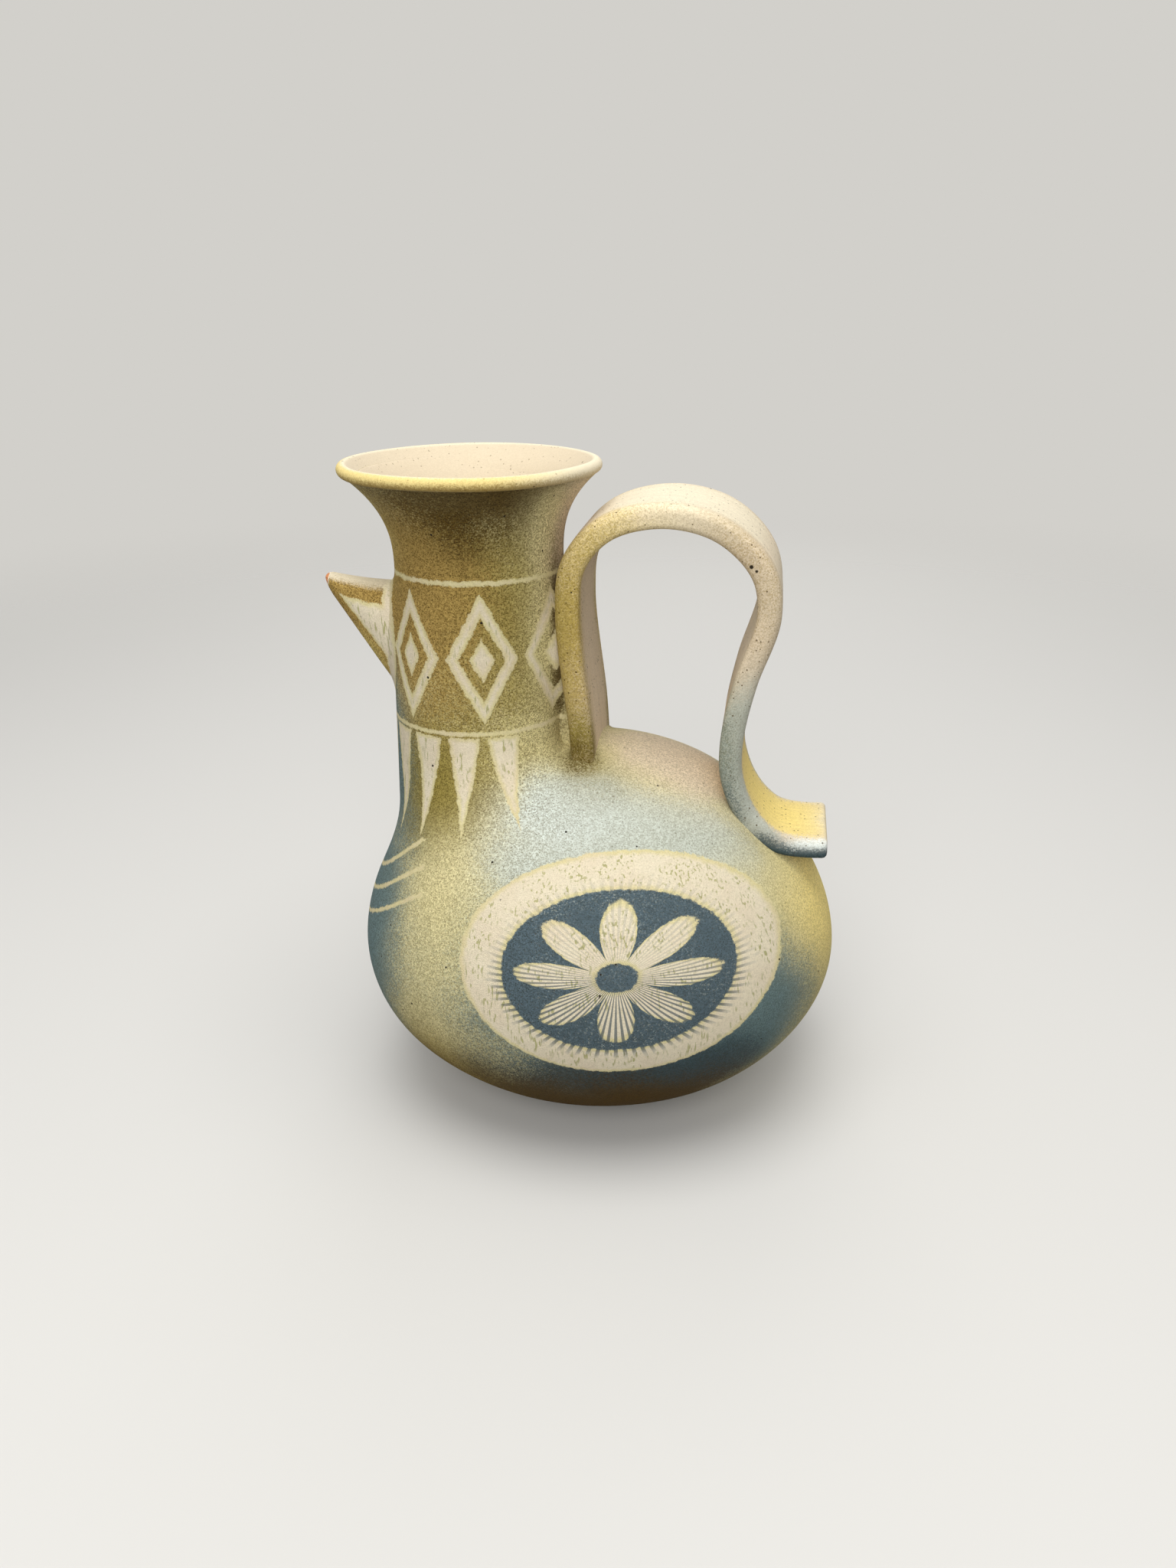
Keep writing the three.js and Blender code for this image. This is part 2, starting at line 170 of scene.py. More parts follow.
@named
class JugGlaze(bpy.types.PropertyGroup):
    """Colours of the sprayed glazes"""

    buff: colour("Ground glaze of the body", "d0c38e")
    ochre: colour("Sprayed on the neck", "9c8044")
    olive: colour("Sprayed on the belly's ends and bottom", "8a7a3a")
    khaki: colour("Sprayed on the front of the belly", "a89048")
    yellow: colour("Sprayed on the tail side and the strap", "f0d884")
    pale: colour("Sprayed on the shoulder", "b9bdaf")
    # on the tail's side edge, mist also stands in part for a painted highlight
    mist: colour("Lightest blue, on the shoulder and the tail's edge", "dfe4dc")
    pink: colour("Sprayed on the top of the dome", "dbc8ac")
    slate: colour("Sprayed on the chest and round the medallions", "637674")
    # deep also serves in part as painted shade, low on the belly and along the lower side of the tail's
    # edge
    deep: colour("Darkest blue, low on the flanks", "35484e")
    navy: colour("Ground inside the medallions", "4d5b60")
    # umber also serves as painted shade: in the crevice beside the strap's front leg, and in part under the
    # lip and low on the belly
    umber: colour("Dark glaze at the roots and under the lip", "4a360c")
    cream: colour("Ground of the resist ornament", "e3d7bb")
    edge: colour("Edges of the resist ornament", "d6ca8c")
    dash: colour("Dry brush marks in the ornament", "9d9a58")
    inside: colour("Glaze inside the mouth", "d2c3a8")
    lip: colour("Spray on the rolled lip", "e0ca86")
    clay: colour("Clay where no glaze covers it", "cf8a5c")
    speck: colour("Dark specks in the glaze", "2b2418")


@named
class JugOrnament(bpy.types.PropertyGroup):
    """Layout of the resist ornament"""

    medallion_x: place("Middle of the flank medallion along the jug", 15 * MM)
    medallion_z: place("Height of the medallion's middle", 81 * MM)
    medallion_length: length("Half the medallion, along the jug", 55 * MM)
    medallion_height: length("Half the medallion, upwards", 36 * MM)
    petals: IntProperty(description="Petals of the rosette", default=8, min=3)
    band_low: place("Height of the neck band's lower line", 150 * MM)
    band_high: place("Height of the neck band's upper line", 203 * MM)
    teeth: IntProperty(description="Divisions for hanging teeth on each side", default=7, min=2)
    tooth_length: length("Length of a hanging tooth", 44 * MM)


@named
class JugStage(bpy.types.PropertyGroup):
    """Light and view"""

    key: power("Power of the lamp over the jug", 8.5)
    fill: power("Power of the lamp in front", 8)
    back: power("Power of the lamp behind", 3)
    sky: share("Strength of the light from all round", 0.52)
    eye: FloatVectorProperty(
        description="Place of the camera", default=(0.0507, -0.4253, 0.2965), subtype="TRANSLATION"
    )
    turn: angle("Camera's turn round the jug", 7.23)
    pitch: angle("How far the camera looks down", 22.38)
    roll: angle("Camera's lean", -0.69)
    lens: setting("Focal length", 28.125, unit="CAMERA")


# Shapes of the clay skin, as fields that are negative inside the clay and 0 on its face


def smooth_min(a, b, reach):
    """The lesser of two fields, with a soft blend where they are within reach of each other."""
    part = np.clip(0.5 + 0.5 * (b - a) / reach, 0, 1)
    return b + (a - b) * part - reach * part * (1 - part)


def flare(z, body):
    rise = (z - body.waist_height) / (body.mouth_height - body.waist_height)
    return np.maximum(rise, 0) ** body.flare_power


def neck_radius(z, body):
    straight = np.minimum((z - body.widest) / (body.waist_height - body.widest), 1)
    waist = body.root_radius + (body.waist_radius - body.root_radius) * straight
    return waist + (body.mouth_radius - body.waist_radius) * flare(z, body)


def belly_field(points, body, inset=0.0):
    """The egg: points measured along the ray from its middle."""
    middle = np.array((0, 0, body.widest))
    x, y, z = (points - middle).T
    size = body.half_length - inset
    depth = size * body.half_depth / body.half_length
    power = np.where(z > 0, body.dome_fullness, body.bowl_fullness)
    rise = np.where(z > 0, body.dome_rise, body.bowl_drop) - inset
    norm = (np.hypot(x / size, y / depth) ** power + (np.abs(z) / rise) ** power) ** (1 / power)
    return np.linalg.norm(points - middle, axis=1) * (1 - 1 / np.maximum(norm, 1e-6))


def neck_field(points, body, wall=0.0, mouth_wall=0.0):
    x, y, z = points.T
    thickness = wall + (mouth_wall - wall) * np.minimum(flare(z, body), 1)
    lean = 1.6  # evens out the distance where the mouth turns out
    slope = 1 + lean * np.minimum(flare(z, body), 1)
    sway_reach = 26 * MM
    middle = body.neck_x + body.sway * np.exp(-(((z - body.waist_height) / sway_reach) ** 2))
    tube = (np.hypot(x - middle, y) - neck_radius(z, body) + thickness) / slope
    return np.maximum(tube, body.widest - z)


def bar_field(across, along, half_width, half_length, corner):
    """A rounded bar seen end on."""
    a = np.abs(across) - half_width + corner
    b = np.abs(along) - half_length + corner
    outside = np.hypot(np.maximum(a, 0), np.maximum(b, 0))
    return outside + np.minimum(np.maximum(a, b), 0) - corner


def beak_size(along, beak):
    """Middle height, half height and half width of the beak at a share of its length."""
    top = BEAK_TOP + beak.lift * np.maximum(along, 0) ** BEAK_CURVE
    half_tall = (beak.root_tall + (beak.tip - beak.root_tall) * along) / 2
    half_wide = (beak.root_wide + (beak.tip - beak.root_wide) * along) / 2
    return top - half_tall, half_tall, half_wide


def beak_field(points, body, beak):
    x, y, z = points.T
    face = body.neck_x - neck_radius(BEAK_HIGH.z, body)
    along = (face - x) / (face - BEAK_LOW.x)
    middle, half_tall, half_wide = beak_size(np.clip(along, -0.3, 1), beak)
    lift = np.clip((z - middle) / half_tall, -1.5, 1.5)
    norm = np.hypot(y / (half_wide * (1 + beak.shoulder * np.clip(lift, -1, 1))), lift)
    return (norm - 1) * half_wide


def outer_field(points, body, handle, beak):
    """The outside of belly and neck, worked together, with the clay raised round the roots."""
    x, y, z = points.T
    across = np.hypot(x - body.neck_x, y) + 1e-9
    end = np.where(x > body.neck_x, body.blend_back, body.blend_front)
    reach = body.blend_side + (end - body.blend_side) * ((x - body.neck_x) / across) ** 2
    belly, neck = belly_field(points, body), neck_field(points, body)
    seat_x, seat_y, seat_length, seat_width = 62 * MM, 19 * MM, 12 * MM, 9 * MM
    beside_seat = ((x - seat_x) / seat_length) ** 2 + ((np.abs(y) - seat_y) / seat_width) ** 2
    belly += np.where(z > body.widest, handle.press * np.exp(-beside_seat), 0)
    skin = smooth_min(belly, neck, reach)
    foot_lean = 4.5 * MM
    leg_x = STRAP_LOW.x + handle.thickness / 2 + foot_lean
    sunk, root_height, collar_width = 0.4 * MM, 7 * MM, 3 * MM
    leg = bar_field(y, x - leg_x, handle.width / 2 - sunk, handle.thickness / 2 - sunk, handle.corner)
    root = np.maximum(np.maximum(leg, body.widest - z), belly - root_height)
    skin = smooth_min(skin, root, handle.root_blend)
    collar = np.maximum(beak_field(points, body, beak) + sunk, neck - collar_width)
    skin = smooth_min(skin, collar, beak.collar)
    return np.maximum(skin, z - RIM_HIGH.z)


def inner_field(points, body):
    hollow = belly_field(points, body, body.wall)
    bore = neck_field(points, body, body.neck_wall, body.mouth_wall)
    soft = 10 * MM
    return np.maximum(smooth_min(hollow, bore, soft), points[:, 2] - RIM_HIGH.z)


def handmade(points, depth=0.45 * MM, wave=46 * MM):
    """Moves points by the slight unevenness of hand work; the foot stays flat on the table."""
    noise.seed_set(HAND_SEED)
    sway = np.array([noise.noise_vector(Vector(p) / wave) for p in points]) * depth
    steady = 12 * MM
    return points + sway * np.clip(points[:, 2:] / steady, 0, 1)


# Mesh helpers


def coordinates(mesh):
    points = np.empty(len(mesh.vertices) * 3, np.float32)
    mesh.vertices.foreach_get("co", points)
    return points.reshape(-1, 3).astype(float)


def set_coordinates(mesh, points):
    mesh.vertices.foreach_set("co", points.astype(np.float32).ravel())
    mesh.update()


def as_mesh(bm, name):
    mesh = bpy.data.meshes.new(name)
    bm.to_mesh(mesh)
    bm.free()
    return mesh


def in_scene(name, data):
    thing = bpy.data.objects.new(name, data)
    bpy.context.scene.collection.objects.link(thing)
    return thing


def make_piece(bm, name, materials, body="root", replaced=()):
    """Ends a bmesh as a smooth piece of the jug that rides on its body."""
    mesh = as_mesh(bm, name)
    set_coordinates(mesh, handmade(coordinates(mesh)))
    mesh.shade_smooth()
    mesh.set_sharp_from_angle(angle=math.radians(50))
    piece = in_scene(name, mesh)
    for material in materials:
        mesh.materials.append(bpy.data.materials[material])
    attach(piece, body)
    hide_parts(*replaced)
    return piece


def remeshed(mesh, cell):
    """The union of a mesh's closed shells, as one skin of even cells."""
    lump = in_scene("lump", mesh)
    even = lump.modifiers.new("Even skin", "REMESH")
    even.mode = "VOXEL"
    even.voxel_size = cell
    graph = bpy.context.evaluated_depsgraph_get()
    made = bpy.data.meshes.new_from_object(lump.evaluated_get(graph))
    bpy.data.objects.remove(lump)
    bpy.data.meshes.remove(mesh)
    return made


def settled(mesh, field, rounds):
    """Moves a mesh's points onto the face of a field, a little at a time."""
    points = coordinates(mesh)
    probe, longest, flattest = 0.05 * MM, 3 * MM, 0.05
    for _ in range(rounds):
        here = field(points)
        steps = np.eye(3) * probe
        slope = np.stack([(field(points + s) - field(points - s)) / (2 * probe) for s in steps], axis=1)
        move = here / np.maximum((slope**2).sum(1), flattest)
        points -= (np.clip(move, -longest, longest))[:, None] * slope
    set_coordinates(mesh, points)
    return mesh


def turned(bm, profile, x, steps, closed=False):
    """Spins a profile of radius and height once round the upright axis at a place along the jug."""
    points = [bm.verts.new((x + radius, 0, z)) for radius, z in profile]
    pairs = list(zip(points, points[1:]))
    if closed:
        pairs.append((points[-1], points[0]))
    edges = [bm.edges.new(pair) for pair in pairs]
    bmesh.ops.spin(
        bm, geom=points + edges, cent=(x, 0, 0), axis=UP, angle=2 * math.pi, steps=steps, use_merge=True
    )
    bmesh.ops.remove_doubles(bm, verts=bm.verts, dist=0.01 * MM)
    bmesh.ops.recalc_face_normals(bm, faces=bm.faces)


def lofted(bm, rings):
    """Extrudes the first ring of points through the others and closes both ends."""
    points = [bm.verts.new(p) for p in rings[0]]
    first = [bm.edges.new((points[i - 1], points[i])) for i in range(len(points))]
    order = points
    for ring in rings[1:]:
        edges = [bm.edges.get((order[i - 1], order[i])) for i in range(len(order))]
        made = bmesh.ops.extrude_edge_only(bm, edges=edges)["geom"]
        fresh = {v for v in made if isinstance(v, bmesh.types.BMVert)}
        step = []
        for point, target in zip(order, ring):
            new = next(e.other_vert(point) for e in point.link_edges if e.other_vert(point) in fresh)
            new.co = target
            step.append(new)
        order = step
    last = [bm.edges.get((order[i - 1], order[i])) for i in range(len(order))]
    bmesh.ops.edgeloop_fill(bm, edges=first)
    bmesh.ops.edgeloop_fill(bm, edges=last)
    bmesh.ops.recalc_face_normals(bm, faces=bm.faces)


def cut(bm, place_on, normal, keep_below, material=0):
    """Cuts a bmesh with a plane and closes the clay there with a flat face."""
    bmesh.ops.bisect_plane(
        bm,
        geom=bm.verts[:] + bm.edges[:] + bm.faces[:],
        dist=1e-6,
        plane_co=place_on,
        plane_no=normal,
        clear_outer=keep_below,
        clear_inner=not keep_below,
    )
    rim = [e for e in bm.edges if e.is_boundary]
    made = bmesh.ops.triangle_fill(bm, use_beauty=True, edges=rim, normal=normal)["geom"]
    for face in made:
        if isinstance(face, bmesh.types.BMFace):
            face.material_index = material


# Shader words


class Signal:
    """The result of a shader node; reckoning with it adds math nodes."""

    def __init__(self, wires, socket):
        self.wires, self.socket = wires, socket

    def reckon(self, operation, *others, clamp=False):
        return self.wires.math(operation, self, *others, clamp=clamp)

    def __radd__(self, other):
        return self.wires.math("ADD", other, self)

    def __rsub__(self, other):
        return self.wires.math("SUBTRACT", other, self)

    def step(self, low, high, smooth=True):
        """0 at low and 1 at high, in between by a smooth step."""
        kind = "SMOOTHSTEP" if smooth else "LINEAR"
        inputs = {"Value": self, "From Min": low, "From Max": high}
        return self.wires.result("ShaderNodeMapRange", inputs, interpolation_type=kind)


for word, operation in {
    "__add__": "ADD",
    "__sub__": "SUBTRACT",
    "__mul__": "MULTIPLY",
    "__truediv__": "DIVIDE",
    "__pow__": "POWER",
    "__abs__": "ABSOLUTE",
    "max": "MAXIMUM",
    "min": "MINIMUM",
    "sqrt": "SQRT",
    "cos": "COSINE",
    "fract": "FRACT",
    "arctan2": "ARCTAN2",
    "times_plus": "MULTIPLY_ADD",
}.items():
    setattr(Signal, word, partialmethod(Signal.reckon, operation))


class Wiring:
    """Short words that add shader nodes and give back their results."""

    def __init__(self, tree):
        self.tree = tree

    def feed(self, socket, value):
        if isinstance(value, Signal):
            self.tree.links.new(value.socket, socket)
        else:
            if socket.type == "RGBA" and len(value) == 3:
                value = (*value, 1)
            socket.default_value = value

    def add(self, kind, inputs=None, **settings):
        node = self.tree.nodes.new(kind)
        for name, value in settings.items():
            setattr(node, name, value)
        for key, value in (inputs or {}).items():
            self.feed(node.inputs[key], value)
        return node

    def result(self, kind, inputs=None, output=0, **settings):
        return Signal(self, self.add(kind, inputs, **settings).outputs[output])

    def results(self, node):
        return {socket.name: Signal(self, socket) for socket in node.outputs}

    def math(self, operation, *values, clamp=False):
        return self.result("ShaderNodeMath", dict(enumerate(values)), operation=operation, use_clamp=clamp)

    def vector(self, operation, *values):
        output = "Value" if operation in ("LENGTH", "DISTANCE") else "Vector"
        return self.result("ShaderNodeVectorMath", dict(enumerate(values)), output, operation=operation)

    def split(self, vector):
        return self.results(self.add("ShaderNodeSeparateXYZ", {0: vector})).values()

    def join(self, x, y, z):
        return self.result("ShaderNodeCombineXYZ", {0: x, 1: y, 2: z})

    def noise(self, place, size, detail=2.0, roughness=0.5):
        inputs = {"Vector": place, "Scale": 1 / size, "Detail": detail, "Roughness": roughness}
        return self.result("ShaderNodeTexNoise", inputs)

    def cells(self, place, size):
        """Random value of each cell, and distance to the cell's middle."""
        cell = self.results(self.add("ShaderNodeTexVoronoi", {"Vector": place, "Scale": 1 / size}))
        return self.result("ShaderNodeSeparateColor", {0: cell["Color"]}), cell["Distance"]

    def mix(self, amount, a, b, blend="MIX"):
        inputs = {0: amount, 6: a, 7: b}
        return self.result("ShaderNodeMix", inputs, 2, data_type="RGBA", blend_type=blend)

    def blend(self, amount, a, b):
        return self.result("ShaderNodeMix", {0: amount, 2: a, 3: b}, data_type="FLOAT")

    def group(self, name, **inputs):
        return self.results(self.add("ShaderNodeGroup", inputs, node_tree=bpy.data.node_groups[name]))


COLOUR_SOCKETS = ("Ground", "Spray", "Colour")
PLACE_SOCKETS = ("Place", "Centre", "Reach")


def new_group(name, inputs, outputs):
    """An empty shader group, its wiring, its inputs and the sockets of its output node."""
    tree = bpy.data.node_groups.new(name, "ShaderNodeTree")
    for direction, labels in (("INPUT", inputs), ("OUTPUT", outputs)):
        for label in labels:
            kind = "Color" if label in COLOUR_SOCKETS else "Vector" if label in PLACE_SOCKETS else "Float"
            tree.interface.new_socket(label, in_out=direction, socket_type="NodeSocket" + kind)
    wires = Wiring(tree)
    return wires, wires.results(wires.add("NodeGroupInput")), wires.add("NodeGroupOutput").inputs


def group_grain():
    """Sandy grain of the dry glaze, from a place in millimetres."""
    names = ("Grain", "Shade", "Height", "Fleck", "Pepper")
    wires, given, out = new_group("Sandy grain", ["Place"], names)
    place_mm = given["Place"]
    coarse, _ = wires.cells(place_mm, 0.42)
    fine = wires.noise(place_mm, 0.34, 2.0, 0.6).step(0.3, 0.7, smooth=False)
    wires.feed(out["Grain"], wires.blend(0.25, coarse, fine))
    shade, middle = wires.cells(wires.vector("ADD", place_mm, (3.1, 5.7, 1.3)), 0.46)
    wires.feed(out["Shade"], wires.blend(0.4, shade, middle.step(0.15, 0.75)))
    bumps = wires.noise(place_mm, 1.3, 3.0, 0.6)
    wires.feed(out["Height"], wires.blend(0.5, bumps, fine))
    chance, middle = wires.cells(place_mm, 5.0)
    rare = chance.step(0.8, 0.82)
    size = chance * 0.11
    dot = middle.step(size, size - 0.035)
    wires.feed(out["Fleck"], rare * dot)
    chance, middle = wires.cells(place_mm, 1.4)
    size = chance.step(0.4, 1.0) * 0.28
    wires.feed(out["Pepper"], middle.step(size, size - 0.08))


def group_spray():
    """A cloud of sprayed glaze that thins out grain by grain."""
    names = ("Ground", "Spray", "Place", "Centre", "Reach", "Strength", "Grain")
    wires, given, out = new_group("Glaze spray", names, ["Colour"])
    away = wires.vector("DIVIDE", wires.vector("SUBTRACT", given["Place"], given["Centre"]), given["Reach"])
    drift = (wires.noise(given["Place"], 22.0) - 0.5) * 0.32
    distance = wires.vector("LENGTH", away) + drift
    cover = distance.step(1.1, 0.25) * given["Strength"]
    stipple = (cover - given["Grain"]).times_plus(2.0, cover, clamp=True)
    amount = wires.blend(0.45, cover, stipple)
    wires.feed(out["Colour"], wires.mix(amount, given["Ground"], given["Spray"]))


def group_resist(glaze):
    """Cream ornament kept free of spray: its distance is in millimetres, negative inside."""
    names = ("Ground", "Distance", "Place", "Grain")
    wires, given, out = new_group("Resist", names, ["Colour", "Cover"])
    place_mm = given["Place"]
    wobble = wires.noise(place_mm, 2.4, 3.0) - 0.5
    ragged = given["Grain"] - 0.5
    away = wobble.times_plus(1.8, given["Distance"])
    away = ragged.times_plus(0.5, away)
    cover = away.step(0.3, -0.3)
    border = away.step(-2.0, -0.4)
    tint = wires.mix(border * 0.75, glaze.cream, glaze.edge)
    warm = wires.noise(place_mm, 14.0).step(0.35, 0.7)
    tint = wires.mix(warm * 0.35, tint, glaze.pink)
    x, y, z = wires.split(place_mm)
    long = wires.join(x, y, z * 0.2)
    dashes = wires.noise(long, 0.9, 1.0).step(0.56, 0.66)
    patches = wires.noise(place_mm, 9.0).step(0.36, 0.6)
    dashes = dashes * away.step(-0.9, -2.0) * patches * 0.75
    tint = wires.mix(dashes, tint, glaze.dash)
    wires.feed(out["Colour"], wires.mix(cover, given["Ground"], tint))
    wires.feed(out["Cover"], cover)


def group_medallion(ornament):
    """Rosette medallion on the flank, from a place in millimetres."""
    wires, given, out = new_group("Medallion", ["Place"], ["Distance", "Disc", "Ticks"])
    x, _, z = wires.split(given["Place"])
    outside = math.sqrt(ornament.medallion_length * ornament.medallion_height) / MM
    stretch_u = outside * MM / ornament.medallion_length
    stretch_v = outside * MM / ornament.medallion_height
    u = (x - ornament.medallion_x / MM) * stretch_u
    v = (z - ornament.medallion_z / MM) * stretch_v
    away = (u**2 + v**2).sqrt()
    turn = v.arctan2(u)
    disc = outside * 0.72
    petal_foot = outside * 0.16
    petal_length = outside * 0.48
    eye = outside * 0.13
    ring = (away - outside).max(disc - away)
    wave = abs((turn * (ornament.petals / 2)).cos())
    reach = (wave**0.8).times_plus(petal_length, petal_foot)
    petals = (away - reach) * 0.6
    petals = petals.max(eye - away)
    wires.feed(out["Distance"], ring.min(petals))
    wires.feed(out["Disc"], away - (disc + 0.4))
    comb = (turn * 84.0).cos()
    fade = disc + 1.2 + wires.noise(given["Place"], 3.0) * 9.0
    tick = comb.step(-0.1, 0.5) * away.step(fade, disc)
    low = (v / away).step(0.55, -0.35)
    wires.feed(out["Ticks"], tick * wires.blend(low, 0.25, 1.0))


def group_neck_band(body, beak, ornament):
    """Lozenge band and hanging teeth round the neck, from a place in millimetres."""
    wires, given, out = new_group("Neck band", ["Place"], ["Distance"])
    x, y, z = wires.split(given["Place"])
    front = body.neck_x / MM - x
    side = abs(y)
    around = (front**2 + side**2).sqrt()
    turn = side.arctan2(front)
    low, high = ornament.band_low / MM, ornament.band_high / MM
    middle, half = (low + high) / 2, (high - low) / 2 - 3.5
    radius = body.waist_radius / MM
    pitch = math.radians(52)
    beak_edge = math.radians(26)
    cell = ((turn - beak_edge) / pitch).fract() - 0.5
    across = abs(cell) * (pitch * radius)
    tall = abs(z - middle)
    half_wide = pitch * radius / 2 - 1.2
    span = across / half_wide + tall / half
    scale = half_wide * half / math.hypot(half_wide, half)
    outer = (span - 1.0) * scale
    hole = (0.64 - span) * scale
    core = (span - 0.34) * scale
    lozenge = outer.max(hole).min(core)
    lozenge = lozenge.max((beak_edge - turn) * radius)
    distance = lozenge
    for height in (low, high):
        line = abs(z - height) - 0.8
        distance = distance.min(line)
    fallen = (low - 1.5 - z).max(-50.0)
    out_run = (around - (radius + 2.5)).max(0.0)
    fallen = fallen + out_run
    tooth = math.pi / ornament.teeth
    cell = (turn / tooth).fract() - 0.5
    across = abs(cell) * tooth * around
    taper = 1.0 - fallen / (ornament.tooth_length / MM)
    edge = taper * (tooth * radius / 2 - 1.0)
    teeth = (across - edge).max(0.0 - fallen)
    behind = (turn - tooth * (ornament.teeth - 2)) * radius
    teeth = teeth.max(behind)
    distance = distance.min(teeth)
    fall = z - (low - 22)
    spread = (y**2 + fall**2).sqrt()
    gap, first = 9.0, 4.0
    ring = (spread / gap).fract() - 0.5
    ring = abs(ring) * gap - 0.8
    ring = ring.max(gap * first - spread)
    ring = ring.max(spread - gap * (first + 3))
    ring = ring.max(z - (low - 38))
    ring = ring.max(14.0 - front)
    distance = distance.min(ring)
    beak_z = BEAK_TOP / MM - beak.root_tall / MM / 2
    lift = (z - beak_z) / (beak.root_tall / MM / 2 + 3.4)
    side = y / (beak.root_wide / MM / 2 + 3.4)
    root = (lift**2 + side**2).sqrt()
    root = (root - 1.0) * (beak.root_wide / MM / 2)
    root = root.max(14.0 - front)
    wires.feed(out["Distance"], distance.min(root))


def group_beak_panel(body, beak):
    """Pale panel on each side of the beak, from a place in millimetres."""
    wires, given, out = new_group("Beak panel", ["Place"], ["Distance", "Ridge", "Tip"])
    x, y, z = wires.split(given["Place"])
    face = (body.neck_x - float(neck_radius(BEAK_HIGH.z, body))) / MM
    reach = face - BEAK_LOW.x / MM
    along = (face - x) / reach
    lift = along.max(0.0)**BEAK_CURVE * (beak.lift / MM)
    top = lift + BEAK_TOP / MM
    ridge, lower_band = 6.0, 12.0
    wires.feed(out["Ridge"], top - z)
    above = z - (top - ridge)
    foot = BEAK_TOP / MM - beak.root_tall / MM + lower_band
    line = along.times_plus(32.0, foot)
    below = line - z
    panel = above.max(below) * 0.8
    root = (along - 0.09) * reach
    wires.feed(out["Distance"], panel.min(root))
    tip = (BEAK_LOW.x / MM + 1.2, 1.0, BEAK_TOP / MM + (beak.lift - beak.tip / 2) / MM)
    wires.feed(out["Tip"], wires.vector("DISTANCE", given["Place"], tip))


class Coat(Wiring):
    """A glaze in the making: a material's wiring, places on the piece in millimetres, and the grain."""

    def __init__(self, name, glaze):
        material = bpy.data.materials.new(name)
        material.use_nodes = True
        super().__init__(material.node_tree)
        self.glaze = glaze
        self.shader = material.node_tree.nodes["Principled BSDF"]
        spot = self.result("ShaderNodeTexCoord", output="Object")
        self.place = self.result("ShaderNodeVectorMath", {0: spot, "Scale": 1 / MM}, operation="SCALE")
        self.grain = self.group("Sandy grain", Place=self.place)
        x, y, z = self.split(self.place)
        self.both = self.join(x, abs(y), z)  # with both flanks laid on one

    def sprayed(self, ground, clouds):
        """Layers clouds of glaze over a ground: colour, middle, reach and strength of each."""
        grain = self.grain["Grain"]
        calm = self.blend(0.65, grain, 0.5)
        for name, middle, reach, strength in clouds:
            spray = self.group(
                "Glaze spray",
                Ground=ground,
                Spray=getattr(self.glaze, name),
                Place=self.both,
                Centre=middle,
                Reach=reach,
                Strength=strength,
                Grain=calm if name in SOFT_GLAZES else grain,
            )
            ground = spray["Colour"]
        return ground

    def resist(self, ground, distance):
        grain = self.grain["Grain"]
        return self.group("Resist", Ground=ground, Distance=distance, Place=self.place, Grain=grain)

    def finish(self, tint, contrast, relief=0.3, specks=1.0, pepper=0.4):
        """Grain, iron specks and relief that every glaze has, wired into the shader."""
        grain, inputs = self.grain, self.shader.inputs
        value = (grain["Shade"] - 0.5).times_plus(contrast * 2.0, 1.0).max(0.02)
        warm = self.join(value, value**1.08, value**1.25)
        tint = self.mix(1.0, tint, warm, blend="MULTIPLY")
        tint = self.mix(grain["Pepper"] * pepper, tint, self.glaze.umber)
        self.feed(inputs["Base Color"], self.mix(grain["Fleck"] * specks, tint, self.glaze.speck))
        self.feed(inputs["Roughness"], grain["Grain"].times_plus(0.14, 0.72))
        self.feed(inputs["Specular IOR Level"], 0.14)
        bump = {"Strength": relief, "Distance": 0.35 * MM, "Height": grain["Height"]}
        self.feed(inputs["Normal"], self.result("ShaderNodeBump", bump))


